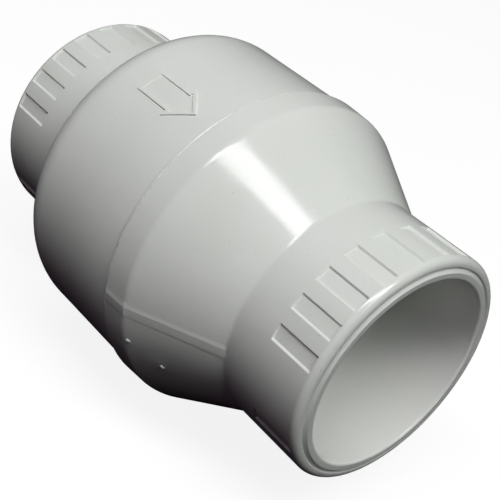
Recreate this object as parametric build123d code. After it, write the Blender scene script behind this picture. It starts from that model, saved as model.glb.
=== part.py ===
from build123d import *
import math
import os

# In-line spring check valve with two plain pipe sockets, in millimetres.
# +X is the flow direction, +Z is the top of the moulding, and the origin is on the axis at mid-length.
# Angles round the axis are counted from +Z towards +Y.

FULL_TURN = 360

# Pipe sockets
PIPE_OD = 48.26
SOCKET_CLEARANCE = 0.07
SOCKET_R = PIPE_OD / 2 + SOCKET_CLEARANCE
SOCKET_DEPTH = 28.0
SOCKET_OUTER_R = 29.1
ENTRY_ROUND = 0.6
PORT_R = 20.4

# Whole body
LENGTH = 120.8
HALF_LENGTH = LENGTH / 2
STOP_X = HALF_LENGTH - SOCKET_DEPTH
JOINT_X = 8.05
JOINT_GAP = 0.15
JOINT_ROUND = 0.4

# Rim of each socket: a rounded outer wall, a fine groove, and a low bead round the bore
BEAD_HEIGHT = 0.4
BEAD_TOP_R = 25.9
BEAD_ROUND = 0.3
RIM_GROOVE_OUTER_R = 27.1
RIM_GROOVE_FLOOR_R = 26.75
RIM_GROOVE_DEPTH = 0.4
WALL_END_X = HALF_LENGTH - BEAD_HEIGHT
RIM_GROOVE_X = WALL_END_X - RIM_GROOVE_DEPTH
WALL_ROUND = 1.8

# Inlet half: socket, steep shoulder, slightly tapered cylinder
INLET_NECK_X = -32.6
SHOULDER_ANGLE = 73.0
SHOULDER_ROUND = 9.0
INLET_R_BACK = 41.0
INLET_R_FRONT = 40.7
CHAMBER_R = 36.0
CHAMBER_FLOOR_X = -26.5
CHAMBER_ROUND = 6.0
NECK_ROUND = 1.5

# Outlet half: lip, straight cone, socket
LIP_R = 41.35
CONE_START_X = 14.95
CONE_START_R = 40.9
CONE_END_X = 36.35
CONE_ROUND = 3.5
FLARE_START_X = 14.15
FLARE_END_X = 28.65
FLARE_START_ROUND = 6.0
FLARE_END_ROUND = 3.0
CONE_FOOT_ROUND = 2.0

# Spigot of the outlet half inside the inlet half
SPIGOT_END_X = 0.0
SPIGOT_R = 38.45
SPIGOT_BORE_R = 35.6
SPIGOT_SOCKET_R = 38.5
LEDGE_X = -5.0

# Seat lip that the poppet closes on
SEAT_X = -21.0
SEAT_OUTER_R = 24.0
SEAT_ROUND = 0.8

# Grip grooves round each socket, in two groups split by the parting plane; their walls slope outwards
GROOVE_PITCH = 15.0
GROOVES_PER_SIDE = 10
GROOVE_WIDTH = 4.2
GROOVE_DEPTH = 0.5
GROOVE_RIM_END_X = 58.3
GROOVE_BODY_END_X = 46.5
GROOVE_WALL_RUN = 1.0
GROOVE_END_RUN = 0.4

# Raised flow arrow on the inlet half
ARROW_ANGLE = -28.5
ARROW_TAIL_X = -15.65
ARROW_HEAD_X = -4.55
ARROW_TIP_X = 2.25
ARROW_SHAFT = 7.1
ARROW_HEAD = 10.4
ARROW_LINE = 0.7
ARROW_TOP_R = 41.15

# Low raised parting line along both sides of the outlet half: distance above the parting plane, and
# height over the half's widest line, from its upper foot over its crest to its lower foot
PARTING_SECTIONS = [(0.4, -0.03), (-0.9, 0.11), (-2.0, 0.035), (-3.0, -0.07), (-4.4, -0.36)]
ROOT = 1.0

# Two small vent pips on the cone: distance along the axis, and angle
PIPS = [(15.65, -104.6), (22.35, -113.5)]
PIP_R = 0.9
PIP_HEIGHT = 0.22

# Stem guide
GUIDE_RING_R = 38.3
GUIDE_RING_BORE_R = 34.3
GUIDE_RING_THICKNESS = 4.9
GUIDE_ARMS = 4
GUIDE_ARM_WIDTH = 3.0
GUIDE_ARM_END_R = 35.3
GUIDE_ARM_END_X = 5.0
HUB_R = 13.0
HUB_CUP_R = 10.5
HUB_FLOOR_X = 7.0
HUB_END_X = 12.0
HUB_ROUND = 1.2

# Poppet and its travel
LIFT = 11.0
STOP_GAP = 0.1
SEAL_GAP = 0.05
SEAL_R = 25.0
SEAL_THICKNESS = 3.0
DISC_R = 26.0
DISC_THICKNESS = 4.0
DISC_BEVEL = 1.2
RETAINER_R = 17.5
RETAINER_THICKNESS = 4.0
RETAINER_EDGE = 1.3
RETAINER_NOSE_R = 9.0
STEM_R = 4.0
STEM_CLEARANCE = 0.05
STEM_END_X = 14.0
STEM_BEVEL = 0.8
SHOULDER_R = 7.0
SHOULDER_THICKNESS = 1.5
THREAD_R = 3.0
THREAD_CLEARANCE = 0.05
THREAD_PITCH = 1.0
THREAD_DEPTH = 0.35
NUT_SIDES = 6
NUT_ACROSS_FLATS = 10.0
NUT_THICKNESS = 4.6
WASHER_R = 6.0
WASHER_THICKNESS = 1.0

# Spring
WIRE_R = 0.55
SPRING_R = 9.0
SPRING_COILS = 6
SPRING_GAP = 0.05
SPRING_WASHER_R = 10.2
SPRING_WASHER_BORE_R = 4.6
SPRING_WASHER_THICKNESS = 0.8

# Faces of the poppet stack, from the seal that touches the seat
SEAL_X = SEAT_X + SEAL_GAP
DISC_X = SEAL_X + SEAL_THICKNESS
DISC_BACK_X = DISC_X + DISC_THICKNESS
RETAINER_X = SEAL_X - RETAINER_THICKNESS
WASHER_X = RETAINER_X - WASHER_THICKNESS
NUT_X = WASHER_X - NUT_THICKNESS
THREAD_END_X = NUT_X - THREAD_PITCH
HUB_MOUTH_X = DISC_BACK_X + LIFT + STOP_GAP
SPRING_END_X = HUB_FLOOR_X - SPRING_WASHER_THICKNESS


def turned(corners, rounds=()):
    """A solid turned about X from (x, radius) corners; rounds pairs a corner's index with its radius."""
    face = make_face(Polyline(*corners, close=True))
    for index, radius in rounds:
        corner = face.vertices().sort_by_distance((*corners[index], 0))[0]
        face = fillet(corner, radius)
    return revolve(face, axis=Axis.X, revolution_arc=FULL_TURN)


def ring(start_x, thickness, outer_r, inner_r):
    """A flat ring on the axis."""
    end_x = start_x + thickness
    return turned([(start_x, inner_r), (end_x, inner_r), (end_x, outer_r), (start_x, outer_r)])


def round_axis(angle, shape):
    """The shape, made at the top of the body, turned to its angle round the axis."""
    return Rot(X=-angle) * shape


def grip_angles():
    """Centre angles of the grooves on the upper side, then on the lower side."""
    first = -GROOVE_PITCH * (GROOVES_PER_SIDE - 1) / 2
    upper = [first + GROOVE_PITCH * i for i in range(GROOVES_PER_SIDE)]
    lower = [angle + FULL_TURN / 2 for angle in upper]
    return upper + lower


def grip_grooves(side):
    """Cutters for the grooves of one socket; side is -1 for the inlet and +1 for the outlet."""
    sections = []
    for rise in (-GROOVE_DEPTH, GROOVE_DEPTH):
        rim_x = GROOVE_RIM_END_X + GROOVE_END_RUN * rise
        body_x = GROOVE_BODY_END_X - GROOVE_END_RUN * rise
        width = GROOVE_WIDTH + 2 * GROOVE_WALL_RUN * rise
        middle = Pos(side * (rim_x + body_x) / 2, 0, SOCKET_OUTER_R + rise)
        sections.append(middle * Rectangle(rim_x - body_x, width))
    cutter = loft(sections)
    return [round_axis(angle, cutter) for angle in grip_angles()]


def flow_arrow():
    """The raised outline of an arrow that points along the flow."""
    shaft = ARROW_SHAFT / 2
    head = ARROW_HEAD / 2
    corners = [
        (ARROW_TAIL_X, -shaft),
        (ARROW_HEAD_X, -shaft),
        (ARROW_HEAD_X, -head),
        (ARROW_TIP_X, 0),
        (ARROW_HEAD_X, head),
        (ARROW_HEAD_X, shaft),
        (ARROW_TAIL_X, shaft),
    ]
    outline = make_face(Polyline(*corners, close=True))
    line = outline - offset(outline, amount=-ARROW_LINE, kind=Kind.INTERSECTION)
    root_r = INLET_R_FRONT - ROOT
    block = extrude(Pos(0, 0, root_r - ROOT) * line, amount=ARROW_TOP_R - root_r + 2 * ROOT)
    length = ARROW_TIP_X - ARROW_TAIL_X
    shell = ring(ARROW_TAIL_X, length, ARROW_TOP_R, root_r)
    return round_axis(ARROW_ANGLE, block & shell)


def parting_line():
    """Low raised lines where the mould halves met, along the lip and the cone."""
    sections = []
    for z, height in PARTING_SECTIONS:
        corners = [
            (JOINT_X + JOINT_ROUND, LIP_R + height),
            (CONE_START_X, CONE_START_R + height),
            (CONE_END_X, SOCKET_OUTER_R + height),
            (CONE_END_X, SOCKET_OUTER_R - ROOT),
            (CONE_START_X, CONE_START_R - ROOT),
            (JOINT_X + JOINT_ROUND, LIP_R - ROOT),
        ]
        sections.append(Pos(0, 0, z) * make_face(Polyline(*corners, close=True)))
    strip = loft(sections, ruled=True)
    return [strip, mirror(strip, about=Plane.XZ)]


def vent_pips():
    """Small domes on the cone."""
    slope = (SOCKET_OUTER_R - CONE_START_R) / (CONE_END_X - CONE_START_X)
    pips = []
    for x, angle in PIPS:
        surface_r = CONE_START_R + slope * (x - CONE_START_X)
        pips.append(round_axis(angle, Pos(x, 0, surface_r + PIP_HEIGHT - PIP_R) * Sphere(PIP_R)))
    return pips


def inlet_body():
    """Inlet socket, shoulder, chamber wall and seat lip."""
    rise = INLET_R_BACK - SOCKET_OUTER_R
    shoulder_x = INLET_NECK_X + rise / math.tan(math.radians(SHOULDER_ANGLE))
    end_x = JOINT_X - JOINT_GAP
    corners = [
        (-HALF_LENGTH, SOCKET_R),
        (-HALF_LENGTH, BEAD_TOP_R),
        (-RIM_GROOVE_X, RIM_GROOVE_FLOOR_R),
        (-WALL_END_X, RIM_GROOVE_OUTER_R),
        (-WALL_END_X, SOCKET_OUTER_R),
        (INLET_NECK_X, SOCKET_OUTER_R),
        (shoulder_x, INLET_R_BACK),
        (end_x, INLET_R_FRONT),
        (end_x, SPIGOT_SOCKET_R),
        (LEDGE_X, SPIGOT_SOCKET_R),
        (LEDGE_X, CHAMBER_R),
        (CHAMBER_FLOOR_X, CHAMBER_R),
        (CHAMBER_FLOOR_X, SEAT_OUTER_R),
        (SEAT_X, SEAT_OUTER_R),
        (SEAT_X, PORT_R),
        (-STOP_X, PORT_R),
        (-STOP_X, SOCKET_R),
    ]
    rounds = [
        (0, ENTRY_ROUND),
        (1, BEAD_ROUND),
        (4, WALL_ROUND),
        (5, NECK_ROUND),
        (6, SHOULDER_ROUND),
        (7, JOINT_ROUND),
        (11, CHAMBER_ROUND),
        (13, SEAT_ROUND),
        (14, SEAT_ROUND),
    ]
    return turned(corners, rounds) + flow_arrow() - grip_grooves(-1)


def outlet_body():
    """Spigot, lip, cone and outlet socket."""
    corners = [
        (SPIGOT_END_X, SPIGOT_BORE_R),
        (SPIGOT_END_X, SPIGOT_R),
        (JOINT_X, SPIGOT_R),
        (JOINT_X, LIP_R),
        (CONE_START_X, CONE_START_R),
        (CONE_END_X, SOCKET_OUTER_R),
        (WALL_END_X, SOCKET_OUTER_R),
        (WALL_END_X, RIM_GROOVE_OUTER_R),
        (RIM_GROOVE_X, RIM_GROOVE_FLOOR_R),
        (HALF_LENGTH, BEAD_TOP_R),
        (HALF_LENGTH, SOCKET_R),
        (STOP_X, SOCKET_R),
        (STOP_X, PORT_R),
        (FLARE_END_X, PORT_R),
        (FLARE_START_X, SPIGOT_BORE_R),
    ]
    rounds = [
        (3, JOINT_ROUND),
        (4, CONE_ROUND),
        (5, CONE_FOOT_ROUND),
        (6, WALL_ROUND),
        (9, BEAD_ROUND),
        (10, ENTRY_ROUND),
        (13, FLARE_END_ROUND),
        (14, FLARE_START_ROUND),
    ]
    return turned(corners, rounds) + parting_line() + vent_pips() - grip_grooves(1)


def stem_guide():
    """Clamped ring, four arms and the hub with the spring's cup and the stem's bore."""
    hub = turned(
        [
            (HUB_MOUTH_X, HUB_CUP_R),
            (HUB_MOUTH_X, HUB_R),
            (HUB_END_X, HUB_R),
            (HUB_END_X, STEM_R + STEM_CLEARANCE),
            (HUB_FLOOR_X, STEM_R + STEM_CLEARANCE),
            (HUB_FLOOR_X, HUB_CUP_R),
        ],
        [(2, HUB_ROUND)],
    )
    rim = ring(LEDGE_X, GUIDE_RING_THICKNESS, GUIDE_RING_R, GUIDE_RING_BORE_R)
    arm_length = GUIDE_ARM_END_R - (HUB_R + HUB_CUP_R) / 2
    arm_middle_r = GUIDE_ARM_END_R - arm_length / 2
    arm_depth = GUIDE_ARM_END_X - HUB_MOUTH_X
    arm = Pos(HUB_MOUTH_X + arm_depth / 2, 0, arm_middle_r) * Box(arm_depth, GUIDE_ARM_WIDTH, arm_length)
    arms = [round_axis(FULL_TURN * (i + 0.5) / GUIDE_ARMS, arm) for i in range(GUIDE_ARMS)]
    return hub + rim + arms


def spring_washer():
    """Flat washer between the spring and the floor of the hub's cup."""
    return ring(SPRING_END_X, SPRING_WASHER_THICKNESS, SPRING_WASHER_R, SPRING_WASHER_BORE_R)


def closing_spring():
    """Compression spring between the disc's back and the spring washer."""
    start_x = DISC_BACK_X + WIRE_R + SPRING_GAP
    height = SPRING_END_X - WIRE_R - SPRING_GAP - start_x
    coil = Helix(height / SPRING_COILS, height, SPRING_R, center=(start_x, 0, 0), direction=(1, 0, 0))
    return sweep(Plane(origin=coil @ 0, z_dir=coil % 0) * Circle(WIRE_R), path=coil, is_frenet=True)


def poppet_stem():
    """Stem with a shoulder behind the disc and a threaded nose in front of it."""
    return turned(
        [
            (THREAD_END_X, 0),
            (THREAD_END_X, THREAD_R - THREAD_DEPTH),
            (THREAD_END_X + THREAD_DEPTH, THREAD_R),
            (DISC_BACK_X, THREAD_R),
            (DISC_BACK_X, SHOULDER_R),
            (DISC_BACK_X + SHOULDER_THICKNESS, SHOULDER_R),
            (DISC_BACK_X + SHOULDER_THICKNESS, STEM_R),
            (STEM_END_X - STEM_BEVEL, STEM_R),
            (STEM_END_X, STEM_R - STEM_BEVEL),
            (STEM_END_X, 0),
        ]
    )


def poppet_disc():
    """Backing disc behind the seal."""
    return turned(
        [
            (DISC_X, THREAD_R + THREAD_CLEARANCE),
            (DISC_X, DISC_R),
            (DISC_BACK_X - DISC_BEVEL, DISC_R),
            (DISC_BACK_X, DISC_R - DISC_BEVEL),
            (DISC_BACK_X, THREAD_R + THREAD_CLEARANCE),
        ]
    )


def poppet_seal():
    """Flat rubber seal that closes on the seat lip."""
    return ring(SEAL_X, SEAL_THICKNESS, SEAL_R, THREAD_R + THREAD_CLEARANCE)


def seal_retainer():
    """Front plate with a sloped nose that clamps the seal."""
    return turned(
        [
            (SEAL_X, THREAD_R + THREAD_CLEARANCE),
            (SEAL_X, RETAINER_R),
            (SEAL_X - RETAINER_EDGE, RETAINER_R),
            (RETAINER_X, RETAINER_NOSE_R),
            (RETAINER_X, THREAD_R + THREAD_CLEARANCE),
        ]
    )


def lock_washer():
    """Washer under the nut."""
    return ring(WASHER_X, WASHER_THICKNESS, WASHER_R, THREAD_R + THREAD_CLEARANCE)


def lock_nut():
    """Hexagon nut on the stem's nose, with the corners bevelled."""
    corner_r = NUT_ACROSS_FLATS / 2 / math.cos(math.pi / NUT_SIDES)
    face = Plane.YZ * RegularPolygon(NUT_ACROSS_FLATS / 2, NUT_SIDES, major_radius=False)
    block = Pos(NUT_X, 0, 0) * extrude(face, amount=NUT_THICKNESS)
    bevel = turned(
        [
            (NUT_X, 0),
            (NUT_X, NUT_ACROSS_FLATS / 2),
            (NUT_X + (corner_r - NUT_ACROSS_FLATS / 2), corner_r),
            (NUT_X + NUT_THICKNESS, corner_r),
            (NUT_X + NUT_THICKNESS, 0),
        ]
    )
    bore = Pos(NUT_X + NUT_THICKNESS / 2, 0, 0) * Rot(Y=90) * Cylinder(
        THREAD_R + THREAD_CLEARANCE, 2 * NUT_THICKNESS
    )
    return block & bevel - bore


NODES = {
    "inlet_body": inlet_body,
    "outlet_body": outlet_body,
    "stem_guide": stem_guide,
    "spring_washer": spring_washer,
    "closing_spring": closing_spring,
    "poppet_stem": poppet_stem,
    "poppet_disc": poppet_disc,
    "poppet_seal": poppet_seal,
    "seal_retainer": seal_retainer,
    "lock_washer": lock_washer,
    "lock_nut": lock_nut,
}

os.makedirs("parts", exist_ok=True)
for name, make in NODES.items():
    export_step(make(), f"parts/{name}.step")
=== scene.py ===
import math

import bpy
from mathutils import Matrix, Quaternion, Vector


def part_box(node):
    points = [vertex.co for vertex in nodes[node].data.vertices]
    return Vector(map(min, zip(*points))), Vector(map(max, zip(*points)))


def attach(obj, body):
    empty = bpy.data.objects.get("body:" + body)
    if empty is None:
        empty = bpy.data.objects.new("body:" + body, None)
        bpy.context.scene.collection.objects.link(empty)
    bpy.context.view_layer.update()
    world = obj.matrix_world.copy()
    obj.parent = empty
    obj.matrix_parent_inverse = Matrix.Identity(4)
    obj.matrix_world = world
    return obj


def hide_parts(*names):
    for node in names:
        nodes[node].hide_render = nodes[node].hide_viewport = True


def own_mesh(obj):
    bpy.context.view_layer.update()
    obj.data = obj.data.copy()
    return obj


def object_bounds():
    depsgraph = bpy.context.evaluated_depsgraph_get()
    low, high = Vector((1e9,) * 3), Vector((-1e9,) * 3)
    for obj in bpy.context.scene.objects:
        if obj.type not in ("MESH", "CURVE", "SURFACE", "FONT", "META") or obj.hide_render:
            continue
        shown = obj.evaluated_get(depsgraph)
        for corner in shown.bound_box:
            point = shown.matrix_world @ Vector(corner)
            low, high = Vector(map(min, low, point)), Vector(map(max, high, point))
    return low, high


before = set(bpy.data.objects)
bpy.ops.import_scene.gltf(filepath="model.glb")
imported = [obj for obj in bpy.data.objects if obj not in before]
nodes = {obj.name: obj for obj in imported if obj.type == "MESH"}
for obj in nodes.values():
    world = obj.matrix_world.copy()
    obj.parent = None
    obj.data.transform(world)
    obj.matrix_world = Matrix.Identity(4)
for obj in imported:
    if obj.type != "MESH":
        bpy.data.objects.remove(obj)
cad_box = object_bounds()

# Camera: the point it looks at, its distance in metres, its angles in degrees and its lens in millimetres
CAMERA_TARGET = Vector((0.00565, 0.0028, -0.0034))
CAMERA_DISTANCE = 0.2568
CAMERA_AZIMUTH = -45.83
CAMERA_ELEVATION = 32.60
CAMERA_ROLL = 13.1
CAMERA_LENS = 74.5
CAMERA_CLIP_START = 0.01

# Softboxes: name, direction, distance, width, depth, watts, turn in degrees and colour
LIGHTS = (
    ("key", (0.29, -0.20, 0.93), 0.80, 0.22, 0.83, 4.8, 68.0, (1.0, 1.0, 1.0)),
    ("front", (0.62, -0.10, 0.73), 1.2, 0.5, 0.5, 3.5, 0.0, (1.0, 1.0, 1.0)),
    ("side", (0.15, -0.90, 0.30), 1.2, 0.9, 0.9, 0.38, 0.0, (1.0, 0.70, 0.95)),
    ("left", (-0.55, -0.80, 0.15), 1.2, 0.9, 0.9, 0.25, 0.0, (1.0, 0.80, 1.0)),
)
# Fills the far end, and leaves no highlight
BACK_LIGHT = ("back", (-0.85, 0.20, 0.50), 1.2, 0.9, 0.9, 1.8, 0.0, (1.0, 1.0, 1.0))

# Room and floor: heights between which the light fades in, its brightness, the backdrop's brightness,
# and half the floor's side
ROOM_FADE_LOW = -0.1
ROOM_FADE_HIGH = 0.6
ROOM_BRIGHTNESS = 0.0015
BACKDROP_BRIGHTNESS = 0.9
FLOOR_HALF = 3.0

# The PVC is painted paler inside this radius, as painted light on the bore walls, and blends to its usual
# colour over this width
BORE_R = 0.0243
BORE_BLEND = 0.0004

# Spring: wire, mean radius, turns in all, touching turns at each end, and how evenly the pitch opens up
WIRE_R = 0.00055
SPRING_R = 0.0090
SPRING_TURNS = 6.5
DEAD_TURNS = 0.9
EVEN_SHARE = 0.8
EASED_SHARE = 0.2
GROUND_DEPTH = 0.35 * WIRE_R
SPRING_STEPS_PER_TURN = 56
SPRING_AROUND = 16

# Bead of solvent cement in the joint: place, size, mesh, and the waves of its uneven width, each with
# its count round the joint and its phase
BEAD_X = 0.00795
BEAD_R = 0.04092
BEAD_HALF_WIDTH = 0.00029
BEAD_STEPS = 480
BEAD_AROUND = 10
BEAD_UNEVEN = 0.25
BEAD_WAVES = ((7, 0.3), (13, 1.1), (31, 2.0), (57, 4.0))


# ---------------------------------------------------------------- materials

class Shader:
    """A material under construction: a Principled shader and the nodes that feed it."""

    def __init__(self, name, **uniform):
        self.material = bpy.data.materials.new(name)
        self.material.use_nodes = True
        self.tree = self.material.node_tree
        self.surface = self.tree.nodes["Principled BSDF"]
        for socket, value in uniform.items():
            self.surface.inputs[socket.replace("_", " ")].default_value = value
        self.position = self.node("ShaderNodeTexCoord").outputs["Object"]

    def node(self, kind, **settings):
        made = self.tree.nodes.new(kind)
        for key, value in settings.items():
            setattr(made, key, value)
        return made

    def link(self, source, target):
        self.tree.links.new(source, target)

    def set(self, socket, source):
        self.link(source, self.surface.inputs[socket])

    def stretched(self, x, y, z):
        """Object coordinates scaled along each axis."""
        made = self.node("ShaderNodeMapping")
        made.inputs["Scale"].default_value = (x, y, z)
        self.link(self.position, made.inputs["Vector"])
        return made.outputs["Vector"]

    def noise(self, scale, detail=3.0, roughness=0.5, distortion=0.0, vector=None):
        made = self.node("ShaderNodeTexNoise")
        made.inputs["Scale"].default_value = scale
        made.inputs["Detail"].default_value = detail
        made.inputs["Roughness"].default_value = roughness
        made.inputs["Distortion"].default_value = distortion
        self.link(vector or self.position, made.inputs["Vector"])
        return made.outputs["Fac"]

    def remap(self, source, low, high, out_low, out_high):
        made = self.node("ShaderNodeMapRange")
        for name, value in (("From Min", low), ("From Max", high), ("To Min", out_low), ("To Max", out_high)):
            made.inputs[name].default_value = value
        self.link(source, made.inputs["Value"])
        return made.outputs["Result"]

    def math(self, operation, first, second):
        made = self.node("ShaderNodeMath", operation=operation)
        for socket, value in zip(made.inputs, (first, second)):
            if isinstance(value, (int, float)):
                socket.default_value = value
            else:
                self.link(value, socket)
        return made.outputs["Value"]

    def mix(self, factor, first, second):
        """A colour between two, which are colours or sockets."""
        made = self.node("ShaderNodeMix", data_type="RGBA")
        self.link(factor, made.inputs["Factor"])
        for socket, value in ((made.inputs["A"], first), (made.inputs["B"], second)):
            if isinstance(value, tuple):
                socket.default_value = (*value, 1.0)
            else:
                self.link(value, socket)
        return made.outputs["Result"]

    def radius(self):
        """Distance from the flow axis."""
        split = self.node("ShaderNodeSeparateXYZ")
        self.link(self.position, split.inputs["Vector"])
        across = self.math("POWER", split.outputs["Y"], 2.0)
        upward = self.math("POWER", split.outputs["Z"], 2.0)
        return self.math("SQRT", self.math("ADD", across, upward), 0.0)

    def bump(self, height, depth, normal=None):
        """Raises the surface by height times depth, in metres."""
        made = self.node("ShaderNodeBump")
        made.inputs["Strength"].default_value = 1.0
        made.inputs["Distance"].default_value = depth
        self.link(height, made.inputs["Height"])
        if normal is not None:
            self.link(normal, made.inputs["Normal"])
        return made.outputs["Normal"]

    def edges(self, radius):
        """1 near convex and concave edges, 0 on smooth surface."""
        soft = self.node("ShaderNodeBevel", samples=4)
        soft.inputs["Radius"].default_value = radius
        plain = self.node("ShaderNodeNewGeometry").outputs["Normal"]
        dot = self.node("ShaderNodeVectorMath", operation="DOT_PRODUCT")
        self.link(soft.outputs["Normal"], dot.inputs[0])
        self.link(plain, dot.inputs[1])
        return self.remap(dot.outputs["Value"], 0.99, 0.86, 0.0, 1.0)


def moulded_pvc():
    """Glossy grey-white rigid PVC, with flow marks, light scuffs, rubbed edges and bores painted paler as
    painted light.
    """
    s = Shader("moulded_pvc", IOR=1.53)
    cloud = s.noise(45, detail=4, roughness=0.55)
    flow = s.noise(22, detail=2, distortion=0.8, vector=s.stretched(1.0, 3.0, 3.0))
    tone = s.mix(s.remap(cloud, 0.3, 0.7, 0.0, 1.0), (0.735, 0.765, 0.725), (0.775, 0.800, 0.765))
    tone = s.mix(s.remap(flow, 0.45, 0.75, 0.0, 0.35), tone, (0.70, 0.73, 0.68))
    speck = s.remap(s.noise(1900, detail=1), 0.735, 0.79, 0.0, 0.5)
    tone = s.mix(speck, tone, (0.45, 0.44, 0.40))
    worn = s.math("MULTIPLY", s.edges(0.0006), s.remap(s.noise(260), 0.35, 0.65, 0.1, 0.8))
    tone = s.mix(worn, tone, (0.84, 0.86, 0.83))
    # Painted light: the bore walls are painted paler to stand for the light that reaches them
    bore_painted_light = s.remap(s.radius(), BORE_R, BORE_R + BORE_BLEND, 1.0, 0.0)
    tone = s.mix(bore_painted_light, tone, (0.86, 0.875, 0.84))
    s.set("Base Color", tone)
    rubbing = s.noise(90, detail=6, roughness=0.7, vector=s.stretched(1.0, 6.0, 2.0))
    scuff = s.remap(rubbing, 0.58, 0.72, 0.0, 0.03)
    sheen = s.remap(s.noise(140, detail=3), 0.3, 0.7, 0.12, 0.18)
    s.set("Roughness", s.math("ADD", sheen, scuff))
    ripple = s.bump(s.noise(170, detail=2), 0.00005)
    grain = s.bump(s.noise(2600, detail=2), 0.0000025, ripple)
    s.set("Normal", grain)
    return s.material


def dried_cement():
    """Dried solvent cement, paler than the PVC, with a few milky lumps."""
    s = Shader("dried_cement", IOR=1.5, Coat_Weight=0.4)
    milk = s.remap(s.noise(420, detail=3), 0.35, 0.65, 0.0, 1.0)
    s.set("Base Color", s.mix(milk, (0.76, 0.79, 0.76), (0.90, 0.91, 0.89)))
    s.set("Roughness", s.remap(s.noise(900, detail=2), 0.3, 0.7, 0.12, 0.3))
    s.set("Normal", s.bump(s.noise(1500, detail=2), 0.00002))
    return s.material


def inner_plastic():
    """Satin light grey moulded plastic of the guide and poppet."""
    s = Shader("inner_plastic", IOR=1.5)
    cloud = s.noise(70, detail=4)
    tone = s.mix(s.remap(cloud, 0.3, 0.7, 0.0, 1.0), (0.36, 0.38, 0.37), (0.44, 0.45, 0.44))
    worn = s.math("MULTIPLY", s.edges(0.0004), s.remap(s.noise(400), 0.35, 0.65, 0.1, 0.8))
    s.set("Base Color", s.mix(worn, tone, (0.58, 0.59, 0.58)))
    s.set("Roughness", s.remap(s.noise(300, detail=4), 0.3, 0.7, 0.34, 0.5))
    s.set("Normal", s.bump(s.noise(1400, detail=3), 0.00001))
    return s.material


def seal_rubber():
    """Matte black moulded rubber with a fine grain and a trace of talc."""
    s = Shader("seal_rubber", IOR=1.48)
    talc = s.remap(s.noise(160, detail=6, roughness=0.7), 0.5, 0.75, 0.0, 0.5)
    s.set("Base Color", s.mix(talc, (0.012, 0.012, 0.013), (0.05, 0.05, 0.052)))
    s.set("Roughness", s.remap(s.noise(500, detail=3), 0.3, 0.7, 0.55, 0.78))
    s.set("Normal", s.bump(s.noise(2500, detail=3), 0.00002))
    return s.material


def turned_steel():
    """Stainless steel with turning marks round the flow axis."""
    s = Shader("turned_steel", Metallic=1.0)
    split = s.node("ShaderNodeSeparateXYZ")
    s.link(s.position, split.inputs["Vector"])
    lathe = s.node("ShaderNodeCombineXYZ")
    s.link(split.outputs["X"], lathe.inputs["X"])
    s.link(s.radius(), lathe.inputs["Y"])
    marks = s.noise(9000, detail=2, vector=lathe.outputs["Vector"])
    tint = s.noise(220, detail=3)
    s.set("Base Color", s.mix(tint, (0.50, 0.49, 0.47), (0.62, 0.61, 0.58)))
    s.set("Roughness", s.remap(marks, 0.3, 0.7, 0.22, 0.42))
    s.set("Normal", s.bump(marks, 0.000006))
    return s.material


def spring_wire():
    """Drawn stainless wire with faint die lines."""
    s = Shader("spring_wire", Metallic=1.0)
    lines = s.noise(2600, detail=2, vector=s.stretched(1.0, 0.15, 0.15))
    s.set("Base Color", s.mix(s.noise(300), (0.46, 0.45, 0.43), (0.60, 0.59, 0.56)))
    s.set("Roughness", s.remap(lines, 0.3, 0.7, 0.2, 0.36))
    s.set("Normal", s.bump(lines, 0.000004))
    return s.material


def studio_floor():
    """Plain pale matte floor, which glows so that shadows on it stay faint."""
    s = Shader("studio_floor", IOR=1.4, Roughness=0.9, Specular_IOR_Level=0.0, Emission_Strength=0.88)
    s.set("Base Color", s.mix(s.noise(3), (0.155, 0.155, 0.155), (0.165, 0.165, 0.165)))
    s.surface.inputs["Emission Color"].default_value = (1.0, 1.0, 1.0, 1.0)
    return s.material


def paint(material, *names):
    """Gives CAD nodes their finish."""
    for name in names:
        for slot in nodes[name].material_slots:
            slot.material = material


# ---------------------------------------------------------------- pieces

def grid_piece(name, rows, material, body, slot, *replaced):
    """A closed tube through rings of points, capped at both ends."""
    count = len(rows[0])
    points = [p for row in rows for p in row]
    faces = []
    for i in range(len(rows) - 1):
        for j in range(count):
            k = (j + 1) % count
            faces.append((i * count + j, i * count + k, (i + 1) * count + k, (i + 1) * count + j))
    last = (len(rows) - 1) * count
    faces.append(tuple(reversed(range(count))))
    faces.append(tuple(last + j for j in range(count)))
    mesh = bpy.data.meshes.new(name)
    mesh.from_pydata(points, [], faces)
    mesh.polygons.foreach_set("use_smooth", [len(f) == 4 for f in faces])
    mesh.materials.append(material)
    piece = bpy.data.objects.new(name, mesh)
    bpy.context.scene.collection.objects.link(piece)
    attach(piece, body)
    if replaced:
        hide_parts(*replaced)
    return piece


def spring_piece(material):
    """Compression spring with closed ends that are ground flat."""
    low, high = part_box("closing_spring")
    start, end = low.x, high.x
    wire = 2 * WIRE_R
    active = SPRING_TURNS - 2 * DEAD_TURNS
    free = (end - start) - wire - 2 * DEAD_TURNS * wire
    rows = []
    for i in range(int(SPRING_TURNS * SPRING_STEPS_PER_TURN) + 1):
        turn = i / SPRING_STEPS_PER_TURN
        dead = min(turn, DEAD_TURNS) + max(0.0, turn - DEAD_TURNS - active)
        rise = min(max(turn - DEAD_TURNS, 0.0), active) / active
        ease = rise * rise * (3 - 2 * rise)
        x = start + WIRE_R + dead * wire + free * (EVEN_SHARE * rise + EASED_SHARE * ease)
        angle = 2 * math.pi * turn
        row = []
        for j in range(SPRING_AROUND):
            bend = 2 * math.pi * j / SPRING_AROUND
            radius = SPRING_R + WIRE_R * math.cos(bend)
            along = x + WIRE_R * math.sin(bend)
            along = min(max(along, start + GROUND_DEPTH), end - GROUND_DEPTH)
            row.append((along, radius * math.sin(angle), radius * math.cos(angle)))
        rows.append(row)
    return grid_piece("spring_coil", rows, material, "housing", "spring_steel", "closing_spring")


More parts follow.
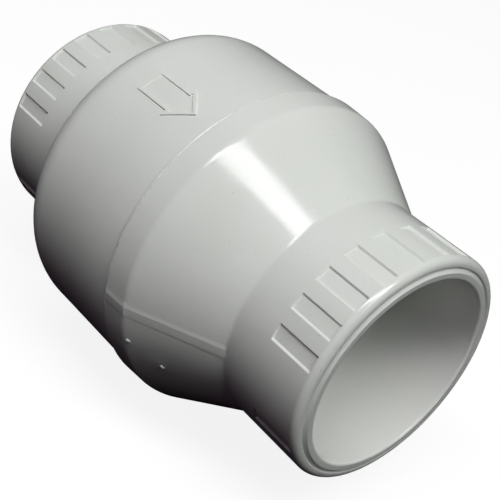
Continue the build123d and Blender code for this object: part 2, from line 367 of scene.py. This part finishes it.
def cement_bead(material):
    """A thin, uneven bead squeezed out where the two halves join."""
    rows = []
    for i in range(BEAD_STEPS + 1):
        angle = math.pi + 2 * math.pi * i / BEAD_STEPS
        swell = sum(math.sin(wave * angle + phase) for wave, phase in BEAD_WAVES) / len(BEAD_WAVES)
        half_width = BEAD_HALF_WIDTH * (1.0 + BEAD_UNEVEN * swell)
        row = []
        for j in range(BEAD_AROUND):
            bend = 2 * math.pi * j / BEAD_AROUND
            radius = BEAD_R + half_width * math.cos(bend)
            along = BEAD_X + half_width * math.sin(bend)
            row.append((along, radius * math.sin(angle), radius * math.cos(angle)))
        rows.append(row)
    return grid_piece("cement_bead", rows, material, "housing", "body_pvc")


# ---------------------------------------------------------------- stage

def camera():
    """Above and in front of the outlet socket, with a slight roll."""
    data = bpy.data.cameras.new("camera")
    data.lens = CAMERA_LENS
    data.clip_start = CAMERA_CLIP_START
    made = bpy.data.objects.new("camera", data)
    azimuth = math.radians(CAMERA_AZIMUTH)
    elevation = math.radians(CAMERA_ELEVATION)
    level = math.cos(elevation)
    back = Vector((level * math.cos(azimuth), level * math.sin(azimuth), math.sin(elevation)))
    made.location = CAMERA_TARGET + back * CAMERA_DISTANCE
    made.rotation_mode = "QUATERNION"
    made.rotation_quaternion = Quaternion(back, math.radians(CAMERA_ROLL)) @ back.to_track_quat("Z", "Y")
    bpy.context.scene.collection.objects.link(made)
    bpy.context.scene.camera = made


def softbox(name, direction, distance, width, depth, watts, turn, colour):
    """A rectangular light that faces the valve."""
    data = bpy.data.lights.new(name, "AREA")
    data.shape = "RECTANGLE"
    data.size = width
    data.size_y = depth
    data.energy = watts
    data.color = colour
    made = bpy.data.objects.new(name, data)
    away = Vector(direction).normalized()
    made.location = away * distance
    made.rotation_mode = "QUATERNION"
    made.rotation_quaternion = Quaternion(away, math.radians(turn)) @ away.to_track_quat("Z", "Y")
    bpy.context.scene.collection.objects.link(made)
    return made


def surroundings():
    """A very dim room that is black below, behind a pale backdrop that only the camera sees."""
    world = bpy.data.worlds.new("room")
    world.use_nodes = True
    tree = world.node_tree
    background = tree.nodes["Background"]
    background.inputs["Color"].default_value = (1.0, 1.0, 1.0, 1.0)
    place = tree.nodes.new("ShaderNodeTexCoord").outputs["Generated"]
    split = tree.nodes.new("ShaderNodeSeparateXYZ")
    tree.links.new(place, split.inputs["Vector"])
    ramp = tree.nodes.new("ShaderNodeMapRange")
    ramp.inputs["From Min"].default_value = ROOM_FADE_LOW
    ramp.inputs["From Max"].default_value = ROOM_FADE_HIGH
    ramp.inputs["To Min"].default_value = 0.0
    ramp.inputs["To Max"].default_value = ROOM_BRIGHTNESS
    tree.links.new(split.outputs["Z"], ramp.inputs["Value"])
    seen = tree.nodes.new("ShaderNodeLightPath").outputs["Is Camera Ray"]
    pick = tree.nodes.new("ShaderNodeMix")
    tree.links.new(seen, pick.inputs["Factor"])
    tree.links.new(ramp.outputs["Result"], pick.inputs["A"])
    pick.inputs["B"].default_value = BACKDROP_BRIGHTNESS
    tree.links.new(pick.outputs["Result"], background.inputs["Strength"])
    bpy.context.scene.world = world


def floor(material):
    """The pale surface that the valve lies on; it gives the valve no light of its own."""
    low = cad_box[0].z
    corners = [(x * FLOOR_HALF, y * FLOOR_HALF, low) for x, y in ((-1, -1), (1, -1), (1, 1), (-1, 1))]
    mesh = bpy.data.meshes.new("floor")
    mesh.from_pydata(corners, [], [(0, 1, 2, 3)])
    mesh.materials.append(material)
    made = bpy.data.objects.new("floor", mesh)
    made.visible_diffuse = False
    made.visible_glossy = False
    bpy.context.scene.collection.objects.link(made)


bpy.context.scene.view_settings.view_transform = "Standard"
camera()
for light in LIGHTS:
    softbox(*light)
softbox(*BACK_LIGHT).visible_glossy = False
surroundings()
floor(studio_floor())

paint(moulded_pvc(), "inlet_body", "outlet_body")
paint(inner_plastic(), "stem_guide", "poppet_disc", "seal_retainer")
paint(seal_rubber(), "poppet_seal")
paint(turned_steel(), "poppet_stem", "lock_nut", "lock_washer", "spring_washer")

cement_bead(dried_cement())
spring = spring_piece(spring_wire())
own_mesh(spring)
